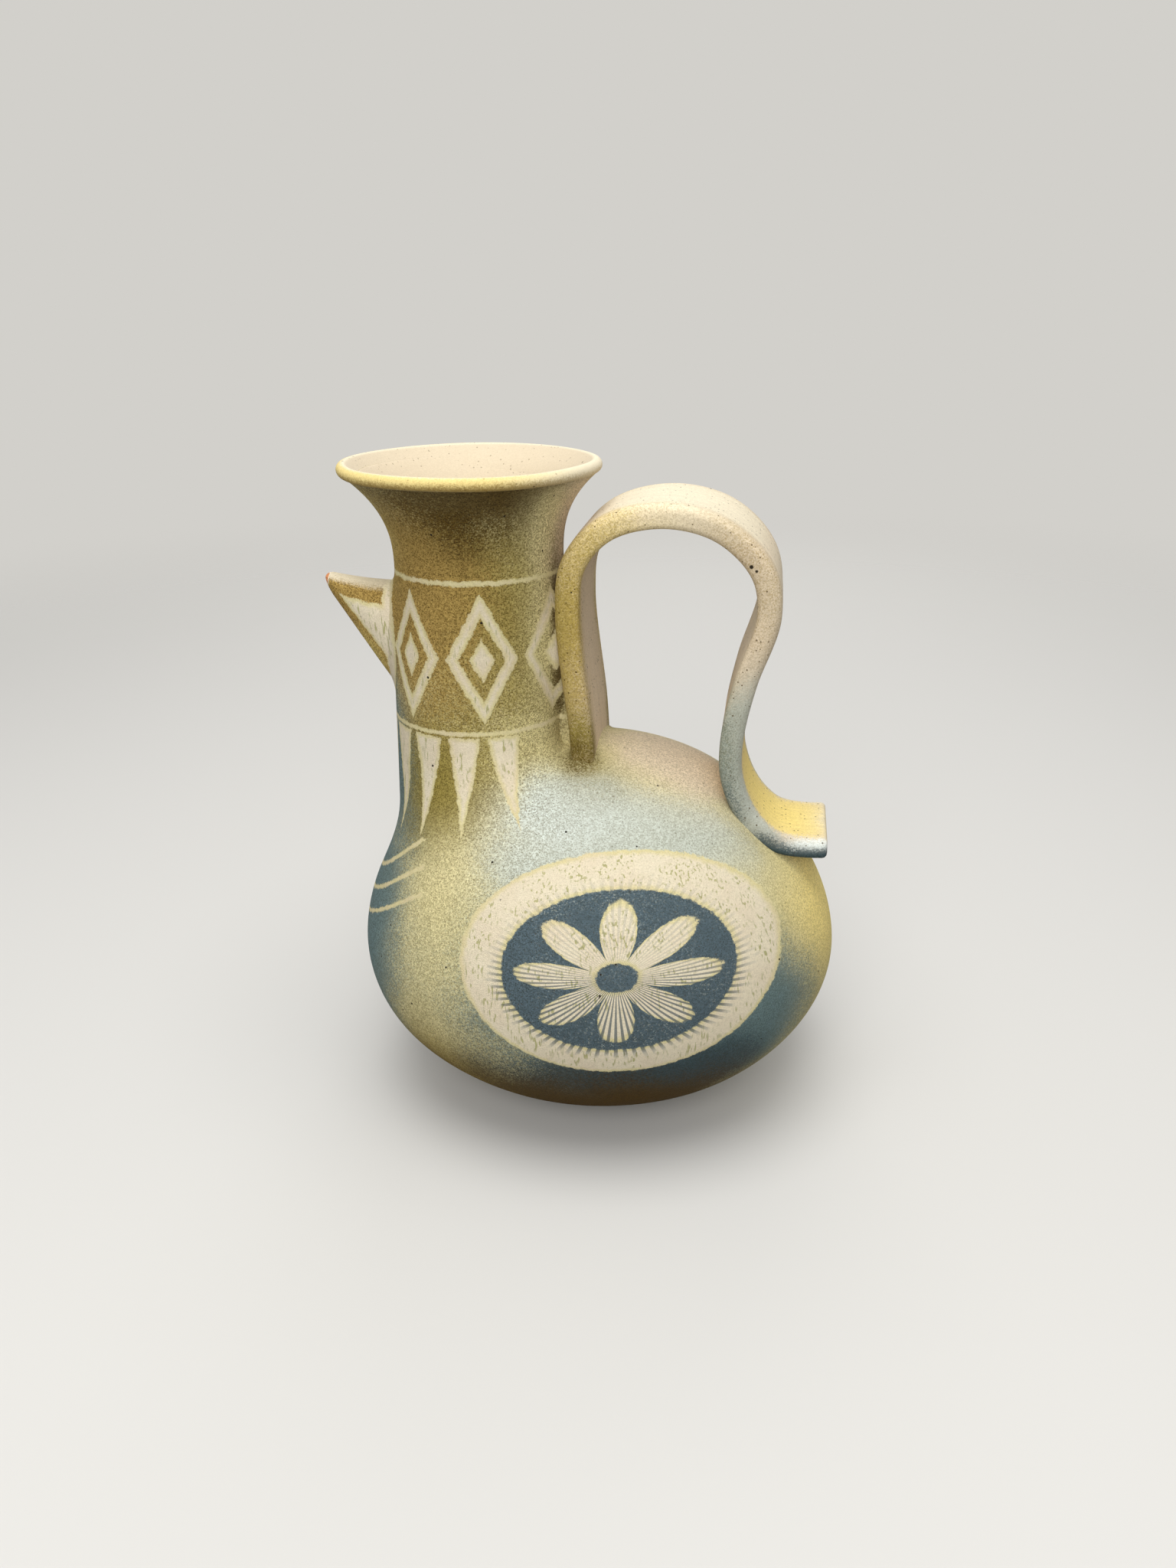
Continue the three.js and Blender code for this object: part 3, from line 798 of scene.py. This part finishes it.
def body_glaze(glaze):
    coat = Coat("Body glaze", glaze)
    clouds = [
        ("khaki", (-30, 20, 10), (104, 110, 70), 1.0),
        ("yellow", (96, 20, 84), (42, 84, 50), 0.7),
        ("slate", (18, 74, 68), (92, 52, 70), 0.8),
        ("pale", (20, 56, 116), (88, 60, 30), 0.9),
        ("pink", (46, 0, 140), (58, 46, 32), 0.95),
        ("slate", (62, 64, 58), (58, 54, 46), 1.0),
        # darker towards the bottom: the deep and umber clouds here are partly blue and olive glaze and
        # partly painted shade
        ("deep", (26, 74, 36), (80, 40, 32), 0.95),
        ("umber", (10, 66, 8), (94, 58, 50), 1.0),
        ("olive", (-54, 20, 130), (44, 44, 42), 1.0),
        ("olive", (-42, 0, 194), (70, 70, 70), 1.0),
        ("ochre", (-64, 24, 196), (48, 50, 60), 0.9),
        # umber under the lip: dark glaze, laid on darker still as painted shade under the lip's overhang
        ("umber", (-31, 28, 243), (60, 64, 38), 0.9),
        # painted light: this yellow cloud lightens the ochre neck at its front, where the neck turns away
        # and renders darker
        ("yellow", (-82, 10, 214), (22, 34, 28), 0.5),
        ("umber", (-40, 32, 220), (16, 20, 14), 0.4),
        ("pink", (-4, 12, 212), (17, 34, 40), 0.9),
        ("buff", (-16, 34, 205), (12, 18, 36), 0.5),
        ("pale", (-4, 38, 128), (30, 26, 22), 0.8),
        ("olive", (4, 30, 134), (20, 20, 14), 0.35),
        ("slate", (-92, 24, 68), (54, 58, 78), 1.0),
        ("slate", (-86, 8, 130), (38, 34, 62), 1.0),
        ("buff", (-8, 26, 216), (17, 24, 26), 0.9),
        ("buff", (-14, 15, 182), (16, 18, 44), 0.6),
        # painted shade: a thin umber strip on the neck right beside the strap's front leg stands for the
        # crevice's shadow
        ("umber", (-12, 10, 178), (4.2, 10, 46), 0.85),
        ("mist", (-8, 44, 126), (40, 28, 20), 0.35),
        ("buff", (56, 44, 102), (26, 26, 16), 0.4),
        ("buff", (-50, 46, 104), (20, 20, 28), 0.45),
        # darker towards the bottom at both ends: umber, partly olive glaze and partly painted shade
        ("umber", (-52, 50, 18), (38, 44, 30), 0.5),
        ("umber", (56, 60, 14), (50, 44, 34), 0.4),
        *FOOT_CLOUDS,
    ]
    tint = coat.sprayed(glaze.buff, clouds)
    medallion = coat.group("Medallion", Place=coat.both)
    disc = medallion["Disc"].step(0.6, -0.6)
    drift = coat.noise(coat.place, 16.0).step(0.3, 0.75)
    dusted = coat.grain["Grain"].step(0.6, 0.95) * drift
    tint = coat.mix(disc, tint, coat.mix(dusted * 0.55, glaze.navy, glaze.pale))
    band = coat.group("Neck band", Place=coat.both)
    resist = coat.resist(tint, medallion["Distance"].min(band["Distance"]))
    tint = coat.mix(medallion["Ticks"] * 0.8, resist["Colour"], glaze.navy)
    x, _, z = coat.split(coat.both)
    high = z.step(110, 150)
    sandy = x.step(4, -22).times_plus(high.times_plus(0.18, 0.16), 0.33)
    contrast = coat.blend(resist["Cover"], sandy, 0.1)
    pepper = coat.blend(resist["Cover"], coat.blend(high, 0.35, 0.5), 0.0)
    coat.finish(tint, contrast, 1.0, pepper=pepper)


def beak_glaze(glaze):
    coat = Coat("Beak glaze", glaze)
    clouds = [("yellow", (-84, 0, 168), (16, 18, 20), 0.5), ("olive", (-84, 0, 166), (12, 16, 14), 0.5)]
    panel = coat.group("Beak panel", Place=coat.both)
    resist = coat.resist(coat.sprayed(glaze.ochre, clouds), panel["Distance"])
    ridge = (panel["Ridge"] + coat.grain["Grain"]).step(3.0, 0.8)
    tint = coat.mix(ridge * 0.85, resist["Colour"], glaze.cream)
    tint = coat.mix(panel["Tip"].step(2.5, 2.3), tint, glaze.cream)
    tint = coat.mix(panel["Tip"].step(2.15, 1.95), tint, glaze.clay)
    coat.finish(tint, coat.blend(resist["Cover"].max(ridge), 0.7, 0.12))


def strap_glaze(glaze):
    coat = Coat("Strap glaze", glaze)
    x, y, z = coat.split(coat.both)
    edge = (coat.grain["Grain"] - 0.5).times_plus(4.0, y).step(13.5, 18.5)
    face = 1.0 - edge
    clouds = [
        ("cream", (36, 0, 226), (50, 60, 24), edge.times_plus(-0.4, 1.0)),
        ("cream", (66, 0, 196), (28, 60, 40), 0.5),
        ("ochre", (56, 30, 204), (38, 40, 56), edge * 0.4),
        ("yellow", (6, 30, 204), (48, 26, 46), edge * 0.6),
        ("khaki", (-2, 30, 198), (38, 26, 56), edge * 0.6),
        ("khaki", (-12, 30, 172), (24, 28, 76), 0.8),
        ("olive", (-16, 30, 190), (16, 20, 60), edge * 0.5),
        ("olive", (-4, 30, 144), (16, 30, 19), edge * 0.7),
        ("khaki", (36, 24, 160), (20, 40, 44), 0.6),
        ("yellow", (72, 0, 122), (36, 40, 38), face),
        ("cream", (99, 0, 108), (24, 60, 14), 0.9),
        ("pale", (58, 30, 132), (28, 60, 56), edge * 0.9),
        # mist along the upper half of the tail's rounded side edge: partly pale blue glaze and partly a
        # painted highlight
        ("mist", (84, 30, 104), (28, 60, 9), edge),
        ("slate", (43, 30, 132), (16, 60, 50), edge * 0.6),
        ("olive", (46, 30, 136), (14, 60, 40), edge * 0.25),
        ("deep", (47, 30, 113), (14, 60, 26), edge * 0.65),
        ("deep", (60, 30, 102), (22, 60, 13), edge),
        # deep along the lower half of the tail's rounded side edge: partly dark blue glaze and partly
        # painted shade
        ("deep", (84, 30, 102), (40, 60, 5.8), edge),
        *FOOT_CLOUDS,
    ]
    tint = coat.sprayed(glaze.pink, clouds)
    flow = coat.join(x * 0.03, y, z * 0.03)
    streak = coat.noise(flow, 1.3, 3.0).step(0.35, 0.65)
    tint = coat.mix(streak * 0.08, tint, glaze.umber)
    for spot, radius in IRON_SPOTS:
        dot = coat.vector("DISTANCE", coat.place, spot).step(radius + 0.2, radius - 0.2)
        tint = coat.mix(dot, tint, glaze.speck)
    sandy = coat.blend(x.step(8, 40), 0.32, 0.2)
    coat.finish(tint, coat.blend(edge, 0.13, sandy), pepper=0.8)


def lip_glaze(body, glaze):
    coat = Coat("Lip glaze", glaze)
    x, y, z = coat.split(coat.both)
    away = ((x - body.neck_x / MM) ** 2 + y**2).sqrt()
    speckle = coat.grain["Grain"] - 0.5
    outside = (away + speckle).step(RIM_OUT - 2.6, RIM_OUT - 0.7)
    tail_side = x.step(4.0, -30.0)
    cover = outside * tail_side
    tint = coat.mix(away.step(RIM_OUT - 3.9, RIM_OUT - 2.6), glaze.inside, glaze.cream)
    tint = coat.mix(cover, tint, glaze.lip)
    # ochre on the lip's underside: olive-grained glaze, darkened there partly as painted shade under the
    # roll
    under = speckle.times_plus(2.4, z).step(RIM_MIDDLE + 1.0, RIM_MIDDLE - 1.9)
    under = under * tail_side.times_plus(0.45, 0.45) * outside
    tint = coat.mix(under, tint, glaze.ochre)
    coat.finish(tint, coat.blend(cover, 0.05, 0.12), 0.16)


def plain_glaze(name, glaze, ground, clouds, contrast, relief, specks):
    """A glaze of sprayed clouds without ornament."""
    coat = Coat(name, glaze)
    coat.finish(coat.sprayed(ground, clouds), contrast, relief, specks)


def make_materials(scene):
    """All glazes, made once and shared by the pieces."""
    body, glaze, ornament = scene.jug_body, scene.jug_glaze, scene.jug_ornament
    group_grain()
    group_spray()
    group_resist(glaze)
    group_medallion(ornament)
    group_beak_panel(body, scene.jug_beak)
    group_neck_band(body, scene.jug_beak, ornament)
    body_glaze(glaze)
    front = ("pink", (-80, 0, 232), (40, 40, 20), 0.25)
    plain_glaze("Inside glaze", glaze, glaze.inside, [front], contrast=0.05, relief=0.12, specks=0.5)
    lip_glaze(body, glaze)
    beak_glaze(glaze)
    strap_glaze(glaze)
    plain_glaze("Bare clay", glaze, glaze.clay, [], contrast=0.15, relief=0.4, specks=0.3)


# Operators, one for each piece or group of like pieces


class JUG_OT_body(bpy.types.Operator):
    """Makes the belly and the neck, one wall worked together from inside and outside"""

    bl_idname = "jug.body"
    bl_label = "Make belly and neck"

    def skin(self, body, wall, neck_wall, field):
        """One side of the clay: a rough egg with a tube on it, settled onto a field."""
        bm = bmesh.new()
        bmesh.ops.create_uvsphere(bm, u_segments=64, v_segments=40, radius=1)
        depth = body.half_depth * (1 - wall / body.half_length)
        size = (body.half_length - wall, depth, body.dome_rise - wall)
        bmesh.ops.scale(bm, vec=size, verts=bm.verts)
        bmesh.ops.translate(bm, vec=(0, 0, body.widest), verts=bm.verts)
        heights = np.linspace(body.widest, RIM_HIGH.z, 24)
        side = [(float(neck_radius(z, body)) - neck_wall, z) for z in heights]
        tube = bmesh.new()
        turned(tube, [(0, heights[0]), *side, (0, heights[-1])], body.neck_x, 64)
        core = as_mesh(tube, "core")
        bm.from_mesh(core)
        bpy.data.meshes.remove(core)
        coarse = body.cell * 1.25
        first = settled(remeshed(as_mesh(bm, "lump"), coarse), field, rounds=10)
        return settled(remeshed(first, body.cell), field, rounds=5)

    def execute(self, context):
        scene = context.scene
        body, handle, beak = scene.jug_body, scene.jug_handle, scene.jug_beak
        outer = self.skin(body, 0, 0, lambda points: outer_field(points, body, handle, beak))
        inner = self.skin(body, body.wall, body.neck_wall, lambda points: inner_field(points, body))
        points = coordinates(inner)
        points[:, 2] = np.maximum(points[:, 2], body.base)
        set_coordinates(inner, points)
        clay = bmesh.new()
        clay.from_mesh(inner)
        bmesh.ops.reverse_faces(clay, faces=clay.faces)
        for face in clay.faces:
            face.material_index = 1
        clay.from_mesh(outer)
        cut(clay, (0, 0, 0), UP, keep_below=False, material=2)
        under_lip = 1.4 * MM
        lip = (RIM_LOW.z + RIM_HIGH.z) / 2 - under_lip
        cut(clay, (0, 0, lip), UP, keep_below=True)
        seam = Vector((body.neck_x, 0, 128 * MM))
        lean = Vector((-0.5, 0, 0.866))
        neck = clay.copy()
        cut(clay, seam, lean, keep_below=True)
        cut(neck, seam, lean, keep_below=False)
        materials = ("Body glaze", "Inside glaze", "Bare clay")
        lower = ("base_disc", "belly_lower", "belly_upper", "neck_luting_coil", "handle_root_luting")
        for bm, name, slot, replaced in (
            (clay, "belly_skin", "belly_glaze", lower),
            (neck, "neck_skin", "neck_glaze", ("neck_tube", "beak_luting_coil")),
        ):
            bmesh.ops.recalc_face_normals(bm, faces=bm.faces)
            make_piece(bm, name, materials, replaced=replaced)
        return {"FINISHED"}


class JUG_OT_rim(bpy.types.Operator):
    """Makes the rolled lip"""

    bl_idname = "jug.rim"
    bl_label = "Make lip"

    def execute(self, context):
        body = context.scene.jug_body
        coil = (RIM_HIGH.z - RIM_LOW.z) / 2
        middle = (RIM_HIGH.x - RIM_LOW.x) / 2 - coil
        height = RIM_HIGH.z - coil
        steps = 18
        top = math.radians(128)
        profile = [(middle - coil, height - coil)]
        for i in range(steps + 1):
            turn = -math.pi / 2 + (top + math.pi / 2) * i / steps
            profile.append((middle + coil * math.cos(turn), height + coil * math.sin(turn)))
        # how far the coil stands proud of the wall inside, at each drop under the lip's top
        inside = {2.2: 0.2, 3.6: 0.2, 5.0: 0.18, 6.4: 0.12, 8.0: 0.0, 9.6: -0.3, 11.2: -0.9}
        for drop, proud in inside.items():
            z = RIM_HIGH.z - drop * MM
            wall = body.neck_wall + (body.mouth_wall - body.neck_wall) * min(float(flare(z, body)), 1)
            profile.append((min(float(neck_radius(z, body)) - wall, middle) - proud * MM, z))
        bm = bmesh.new()
        turned(bm, profile, body.neck_x, 120, closed=True)
        make_piece(bm, "rim_roll", ["Lip glaze"], replaced=("rim_coil",))
        return {"FINISHED"}


class JUG_OT_beak(bpy.types.Operator):
    """Makes the closed beak"""

    bl_idname = "jug.beak"
    bl_label = "Make beak"

    def execute(self, context):
        body, beak = context.scene.jug_body, context.scene.jug_beak
        face = body.neck_x - float(neck_radius(BEAK_HIGH.z, body))
        reach = face - BEAK_LOW.x
        root = -4.2 * MM / reach
        tip_round = beak.tip / 2
        stations = [(root + (1 - tip_round / reach - root) * i / 26, 1.0) for i in range(27)]
        for degrees in (25, 50, 70, 85):
            turn = math.radians(degrees)
            stations.append((1 - tip_round / reach * (1 - math.sin(turn)), math.cos(turn)))
        rings = []
        for along, grow in stations:
            middle, half_tall, half_wide = beak_size(along, beak)
            ring = []
            for i in range(40):
                turn = 2 * math.pi * i / 40
                lift, side = math.sin(turn), math.cos(turn)
                side = math.copysign(abs(side) ** 0.85, side)
                y = half_wide * grow * side * (1 + beak.shoulder * lift)
                ring.append((face - along * reach, y, middle + half_tall * grow * lift))
            rings.append(ring)
        bm = bmesh.new()
        lofted(bm, rings)
        make_piece(bm, "beak_shell", ["Beak glaze"], replaced=("beak",))
        return {"FINISHED"}


def smooth_path(points, steps):
    """A smooth line through chosen points, evenly divided, with its tangents."""
    points = np.array(points, float)
    ends = [2 * points[0] - points[1], 2 * points[-1] - points[-2]]
    guide = np.vstack([ends[:1], points, ends[1:]])
    knots = np.concatenate([[0], np.cumsum(np.linalg.norm(np.diff(guide, axis=0), axis=1) ** 0.5)])
    line = []
    for i in range(1, len(guide) - 2):
        times = knots[i - 1 : i + 3]
        for t in np.linspace(times[1], times[2], 24, endpoint=False):
            near = guide[i - 1 : i + 3]
            for span in (1, 2):
                ends = zip(near, near[1:], times, times[span:])
                near = [(p * (b - t) + q * (t - a)) / (b - a) for p, q, a, b in ends]
            line.append((near[0] * (times[2] - t) + near[1] * (t - times[1])) / (times[2] - times[1]))
    line = np.array([*line, points[-1]])
    run = np.concatenate([[0], np.cumsum(np.linalg.norm(np.diff(line, axis=0), axis=1))])
    even = np.linspace(0, run[-1], steps)
    path = np.stack([np.interp(even, run, line[:, k]) for k in range(2)], axis=1)
    tangents = np.gradient(path, axis=0)
    return path, tangents / np.linalg.norm(tangents, axis=1)[:, None]


def strap_ring(middle, tangent, half_width, half_thickness, corner):
    """A rounded bar across the strap at one place of its line."""
    normal = Vector((-tangent[1], 0, tangent[0]))
    centre = Vector((middle[0], 0, middle[1]))
    outer_corner = min(corner, half_thickness * 0.9)
    inner_corner = outer_corner * 0.65
    arc, flat = 7, 7  # divisions of each corner and of each flat side
    ring = []
    for quarter, (side, lift) in enumerate(((1, 1), (-1, 1), (-1, -1), (1, -1))):
        corner = outer_corner if lift > 0 else inner_corner
        for part in range(arc + 1):
            turn = (quarter + part / arc) * math.pi / 2
            across = side * (half_width - corner) + corner * math.cos(turn)
            up = lift * (half_thickness - corner) + corner * math.sin(turn)
            ring.append(centre + normal * up + Vector((0, across, 0)))
        if quarter % 2 == 0:
            for k in range(1, flat):
                across = side * (half_width - corner) * (1 - 2 * k / flat)
                ring.append(centre + normal * lift * half_thickness + Vector((0, across, 0)))
    return ring


class JUG_OT_handle(bpy.types.Operator):
    """Makes the strap handle, from its foot on the dome over the arch to the tail"""

    bl_idname = "jug.handle"
    bl_label = "Make handle"

    def execute(self, context):
        body, handle = context.scene.jug_body, context.scene.jug_handle
        dome_top = body.widest + body.dome_rise
        leg_x = STRAP_LOW.x + handle.thickness / 2
        rise = STRAP_HIGH.z - handle.thickness / 2 - dome_top
        loop = [
            (0.07, -handle.foot_depth / rise),
            (0.054, 0.12),
            (-0.006, 0.6),
            (0.03, 0.794),
            (0.2, 0.937),
            (0.5, 0.991),
            (0.79, 0.937),
            (0.995, 0.779),
            (1.035, 0.6),
            (0.93, 0.32),
            (0.875, 0.11),
            (0.868, -0.04),
            (0.893, -0.132),
            (0.94, -0.219),
            (1.01, -0.298),
            (1.106, -0.361),
            (1.19, -0.383),
            (1.3, -0.39),
            (1.385, -0.389),
        ]
        points = [(leg_x + across * handle.span, dome_top + up * rise) for across, up in loop]
        steps = 190
        path, tangents = smooth_path(points, steps)
        rings = []
        for i in range(steps):
            late = (i / (steps - 1)) ** 3
            half_thick = (handle.thickness + (handle.end_thickness - handle.thickness) * late) / 2
            half_width = (handle.width + (handle.end_width - handle.width) * late) / 2
            ring = strap_ring(path[i], tangents[i], half_width, half_thick, handle.corner)
            high = min(max((path[i][1] - dome_top) / rise, 0), 1)
            for point in ring:
                point.x += handle.yaw * (point.y + half_width)
                point.z += handle.roll * high * point.y
            rings.append(ring)
        end_round = 1.7 * MM
        for degrees in (30, 60, 90):
            turn = math.radians(degrees)
            spot = path[-1] + tangents[-1] * end_round * math.sin(turn)
            less = end_round * (1 - math.cos(turn))
            corner = handle.corner - less / 2
            ring = strap_ring(spot, tangents[-1], half_width - less, half_thick - less, corner)
            for point in ring:
                point.x += handle.yaw * (point.y + half_width)
            rings.append(ring)
        bm = bmesh.new()
        lofted(bm, rings)
        # the clay that fills the crevice between the neck and the leg's foot
        filler_size = (9 * MM, 18 * MM, 22 * MM)
        filler_at = (STRAP_LOW.x + 2 * MM, 0, dome_top + 7 * MM)
        filler = Matrix.Translation(filler_at) @ Matrix.Diagonal(filler_size).to_4x4()
        corners = bmesh.ops.create_cube(bm, size=1, matrix=filler)["verts"]
        for face in {face for corner in corners for face in corner.link_faces}:
            face.material_index = 1
        glazes = ("Strap glaze", "Body glaze")
        make_piece(bm, "handle_strap_glazed", glazes, replaced=("handle_strap",))
        return {"FINISHED"}


class JUG_OT_carried(bpy.types.Operator):
    """Gives the pieces that keep their own shape their finish"""

    bl_idname = "jug.carried"
    bl_label = "Finish carried pieces"

    def execute(self, context):
        for node, material in (("belly_seam_coil", "Bare clay"), ("handle_neck_luting", "Body glaze")):
            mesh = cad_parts[node].data
            mesh.materials.clear()
            mesh.materials.append(bpy.data.materials[material])
        return {"FINISHED"}


class JUG_OT_stage(bpy.types.Operator):
    """Makes the floor, the lamps and the camera"""

    bl_idname = "jug.stage"
    bl_label = "Make stage"

    def seen(self, wires):
        """1 where a surface is looked at, straight or by reflection, and 0 where it only sends light on."""
        path = wires.results(wires.add("ShaderNodeLightPath"))
        seen = path["Is Camera Ray"].max(path["Is Glossy Ray"])
        return seen.max(path["Is Transmission Ray"])

    def execute(self, context):
        scene, stage = context.scene, context.scene.jug_stage
        bm = bmesh.new()
        bmesh.ops.create_circle(bm, cap_ends=True, segments=96, radius=FLOOR_RADIUS)
        mesh = as_mesh(bm, "floor")
        in_scene("floor", mesh)
        material = bpy.data.materials.new("Floor")
        material.use_nodes = True
        wires = Wiring(material.node_tree)
        shader = material.node_tree.nodes["Principled BSDF"]
        seen = self.seen(wires)
        wires.feed(shader.inputs["Base Color"], wires.mix(seen, srgb("6a6a6a"), srgb("d2d0cb")))
        spot = wires.result("ShaderNodeTexCoord", output="Object")
        fade = wires.vector("LENGTH", spot).step(FLOOR_RADIUS * 0.95, FLOOR_RADIUS * 0.3)
        wires.feed(shader.inputs["Alpha"], wires.blend(seen, 1.0, fade))
        shader.inputs["Roughness"].default_value = 0.9
        mesh.materials.append(material)
        world = bpy.data.worlds.new("Studio")
        world.use_nodes = True
        scene.world = world
        wires = Wiring(world.node_tree)
        ground = world.node_tree.nodes["Background"]
        seen = self.seen(wires)
        wires.feed(ground.inputs["Color"], wires.mix(seen, srgb("f2f3f5"), srgb("d2d0cb")))
        wires.feed(ground.inputs["Strength"], wires.blend(seen, stage.sky, 1.0))
        middle = Vector((0, 0, 0.12))
        for name, energy, at in (
            ("key", stage.key, (0.0, -0.2, 1.2)),
            ("fill", stage.fill, (0.0, -1.1, 0.65)),
            ("back", stage.back, (0.0, 1.1, 0.65)),
        ):
            light = bpy.data.lights.new(name, "AREA")
            light.shape, light.size, light.energy = "DISK", 0.9, energy
            lamp = in_scene(name, light)
            lamp.location = at
            lamp.rotation_euler = (Vector(at) - middle).to_track_quat("Z", "Y").to_euler()
        data = bpy.data.cameras.new("camera")
        data.lens = stage.lens
        data.sensor_width = 36
        data.clip_start = 0.01
        camera = in_scene("camera", data)
        view = Matrix.Rotation(stage.turn, 4, "Z") @ Matrix.Rotation(math.pi / 2 - stage.pitch, 4, "X")
        camera.matrix_world = Matrix.Translation(stage.eye) @ view @ Matrix.Rotation(stage.roll, 4, "Z")
        scene.camera = camera
        scene.view_settings.view_transform = "Standard"
        return {"FINISHED"}


OPERATORS = (JUG_OT_body, JUG_OT_rim, JUG_OT_beak, JUG_OT_handle, JUG_OT_carried, JUG_OT_stage)


class JUG_PT_panel(bpy.types.Panel):
    """Lists the jug's sizes, colours and operators"""

    bl_idname = "JUG_PT_panel"
    bl_label = "Pottery jug"
    bl_space_type = "VIEW_3D"
    bl_region_type = "UI"
    bl_category = "Jug"

    def draw(self, context):
        for operator in OPERATORS:
            self.layout.operator(operator.bl_idname)
        for name in SETTINGS:
            box = self.layout.box()
            group = getattr(context.scene, name)
            for key in SETTINGS[name].__annotations__:
                box.prop(group, key)


SETTINGS = {
    "jug_body": JugBody,
    "jug_handle": JugHandle,
    "jug_beak": JugBeak,
    "jug_glaze": JugGlaze,
    "jug_ornament": JugOrnament,
    "jug_stage": JugStage,
}


def register():
    for group in (*SETTINGS.values(), *OPERATORS, JUG_PT_panel):
        bpy.utils.register_class(group)
    for name, group in SETTINGS.items():
        setattr(bpy.types.Scene, name, PointerProperty(type=group))


def unregister():
    for name in SETTINGS:
        delattr(bpy.types.Scene, name)
    for group in (JUG_PT_panel, *OPERATORS, *SETTINGS.values()):
        bpy.utils.unregister_class(group)


def main():
    register()
    make_materials(bpy.context.scene)
    for step in ("stage", "body", "rim", "beak", "handle", "carried"):
        getattr(bpy.ops.jug, step)()


if __name__ == "__main__":
    main()
